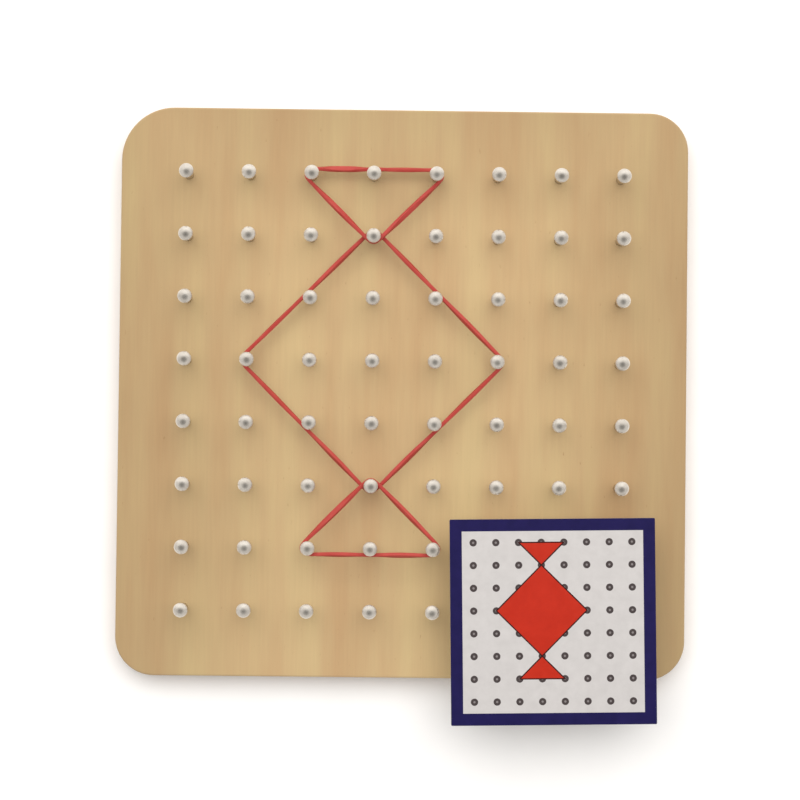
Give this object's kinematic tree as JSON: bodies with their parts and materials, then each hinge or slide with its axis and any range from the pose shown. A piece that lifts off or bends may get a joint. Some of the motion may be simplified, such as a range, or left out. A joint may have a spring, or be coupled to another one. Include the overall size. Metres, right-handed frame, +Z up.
{
  "type": "geoboard",
  "caption": "Square wooden peg board with a grid of domed metal pins, red rubber bands stretched into triangles and a diamond, and a printed pattern card lying on the pins.",
  "frame": {"origin": "centre of the board's underside", "axes": "+Z up out of the pinned face, +Y towards the first row of pins, +X along a row of pins"},
  "size_m": [0.23, 0.247, 0.0259],
  "materials": {
    "board_plywood": "satin",
    "pin_nickel": "satin",
    "band_rubber": "satin",
    "card_print": "satin"
  },
  "bodies": {
    "board": {"board": "board_plywood", "pin_row_1": "pin_nickel", "pin_row_2": "pin_nickel", "pin_row_3": "pin_nickel", "pin_row_4": "pin_nickel", "pin_row_5": "pin_nickel", "pin_row_6": "pin_nickel", "pin_row_7": "pin_nickel", "pin_row_8": "pin_nickel"},
    "top_triangle_band": {"top_triangle_band": "band_rubber"},
    "diamond_band": {"diamond_band": "band_rubber"},
    "bottom_triangle_band": {"bottom_triangle_band": "band_rubber"},
    "pattern_card": {"pattern_card": "card_print"}
  },
  "joints": [
    {"name": "top_triangle_band_slide", "type": "slide", "parent": "board", "child": "top_triangle_band", "axis": [0, 0, 1], "range_m": [-0.0005, 0.0002]},
    {"name": "diamond_band_slide", "type": "slide", "parent": "board", "child": "diamond_band", "axis": [0, 0, 1], "range_m": [-0.0049, 0.0005]},
    {"name": "bottom_triangle_band_slide", "type": "slide", "parent": "board", "child": "bottom_triangle_band", "axis": [0, 0, 1], "range_m": [-0.0008, 0.0007]},
    {"name": "pattern_card_lift", "type": "slide", "parent": "board", "child": "pattern_card", "axis": [0, 0, 1], "range_m": [0, 0.06]}
  ]
}
